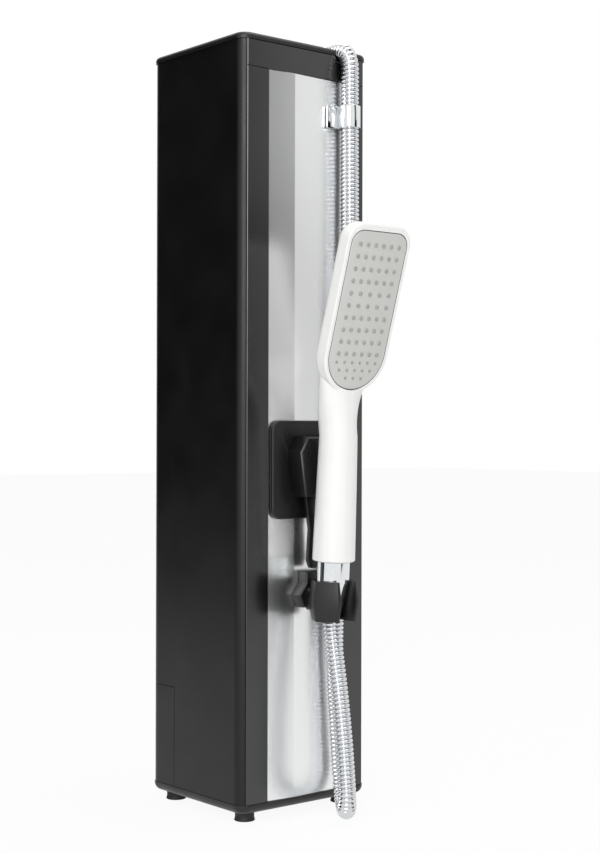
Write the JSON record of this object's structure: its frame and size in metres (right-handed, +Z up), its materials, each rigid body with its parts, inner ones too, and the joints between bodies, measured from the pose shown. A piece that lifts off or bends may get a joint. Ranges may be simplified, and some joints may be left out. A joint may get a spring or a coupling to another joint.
{
  "type": "solar outdoor shower",
  "caption": "Free-standing square column with an inner water tank, a front mixer and a leaning hand shower on a metal hose that goes over the top.",
  "frame": {"origin": "on the floor under the centre of the column's plan", "axes": "+Z up, the mixer and hand shower face -Y, +X to the right seen from the front"},
  "size_m": [0.127, 0.2317, 0.601],
  "materials": {
    "black_powder_coat": "fine satin powder coat",
    "polished_aluminium": "polished and anodised",
    "black_plastic": "moulded, fine texture",
    "black_metal": "satin black",
    "chrome": "polished",
    "hose_steel": "double-lock wound strip",
    "white_gloss": "gloss",
    "grey_plate": "satin",
    "nozzle_silicone": "soft matt",
    "foot_rubber": "matt",
    "washer_rubber": "matt",
    "stainless_screw": "turned",
    "brass": "machined",
    "cartridge_plastic": "moulded",
    "white_tube": "extruded",
    "red_tube": "extruded",
    "tank_plastic": "blow moulded",
    "stand_plastic": "moulded"
  },
  "bodies": {
    "column": {"column_shell": "black_powder_coat", "service_cover": "black_powder_coat", "header_panel": "black_powder_coat", "front_strip_left": "black_powder_coat", "front_strip_right": "black_powder_coat", "front_panel": "polished_aluminium", "top_cap": "black_plastic", "base_tray": "black_plastic", "holder_base": "black_plastic", "holder_cradle": "black_plastic", "mixer_plate": "black_plastic", "hose_guide": "chrome", "hose_hex_nut": "chrome", "outlet_elbow": "chrome", "outlet_rosette": "chrome", "inlet_connector": "chrome", "shower_hose": "hose_steel", "foot_rear_left": "foot_rubber", "foot_front_left": "foot_rubber", "foot_rear_right": "foot_rubber", "foot_front_right": "foot_rubber", "outlet_washer": "washer_rubber", "foot_screws": "stainless_screw", "cover_screws": "stainless_screw", "cap_screws": "stainless_screw", "holder_screw": "stainless_screw", "guide_nut": "stainless_screw", "mixer_plate_screws": "stainless_screw", "mixer_valve_body": "brass", "cartridge_nut": "brass", "outlet_hose_tail": "brass", "inlet_check_valve": "brass", "inlet_manifold": "brass", "mixer_cartridge": "cartridge_plastic", "cold_pipe": "white_tube", "mixed_pipe": "white_tube", "fill_pipe": "white_tube", "hot_pipe": "red_tube", "water_tank": "tank_plastic", "tank_stand": "stand_plastic"},
    "mixer_control": {"mixer_handle": "black_metal", "mixer_lever": "black_metal", "handle_grub_screw": "stainless_screw", "mixer_spindle": "brass"},
    "hose_end": {"hose_cone_nut": "chrome", "handset_hose_tail": "brass", "handset_washer": "washer_rubber"},
    "handset": {"handset_shell": "white_gloss", "handset_spray_plate": "grey_plate", "handset_nozzle_mat": "nozzle_silicone", "handset_flow_tube": "white_tube", "handset_inlet": "brass"}
  },
  "joints": [
    {"name": "mixer_turn", "type": "hinge", "parent": "column", "child": "mixer_control", "pos_m": [0, -0.0695, 0.271], "axis": [0, 1, 0], "range_deg": [0, 90]},
    {"name": "handset_lift", "type": "slide", "parent": "column", "child": "hose_end", "axis": [0, -0.0558, 0.9984], "range_m": [0, 0.05]},
    {"name": "handset_swivel", "type": "hinge", "parent": "hose_end", "child": "handset", "pos_m": [0, -0.0919, 0.197], "axis": [0, -0.0558, 0.9984], "range_deg": [-60, 60]}
  ]
}
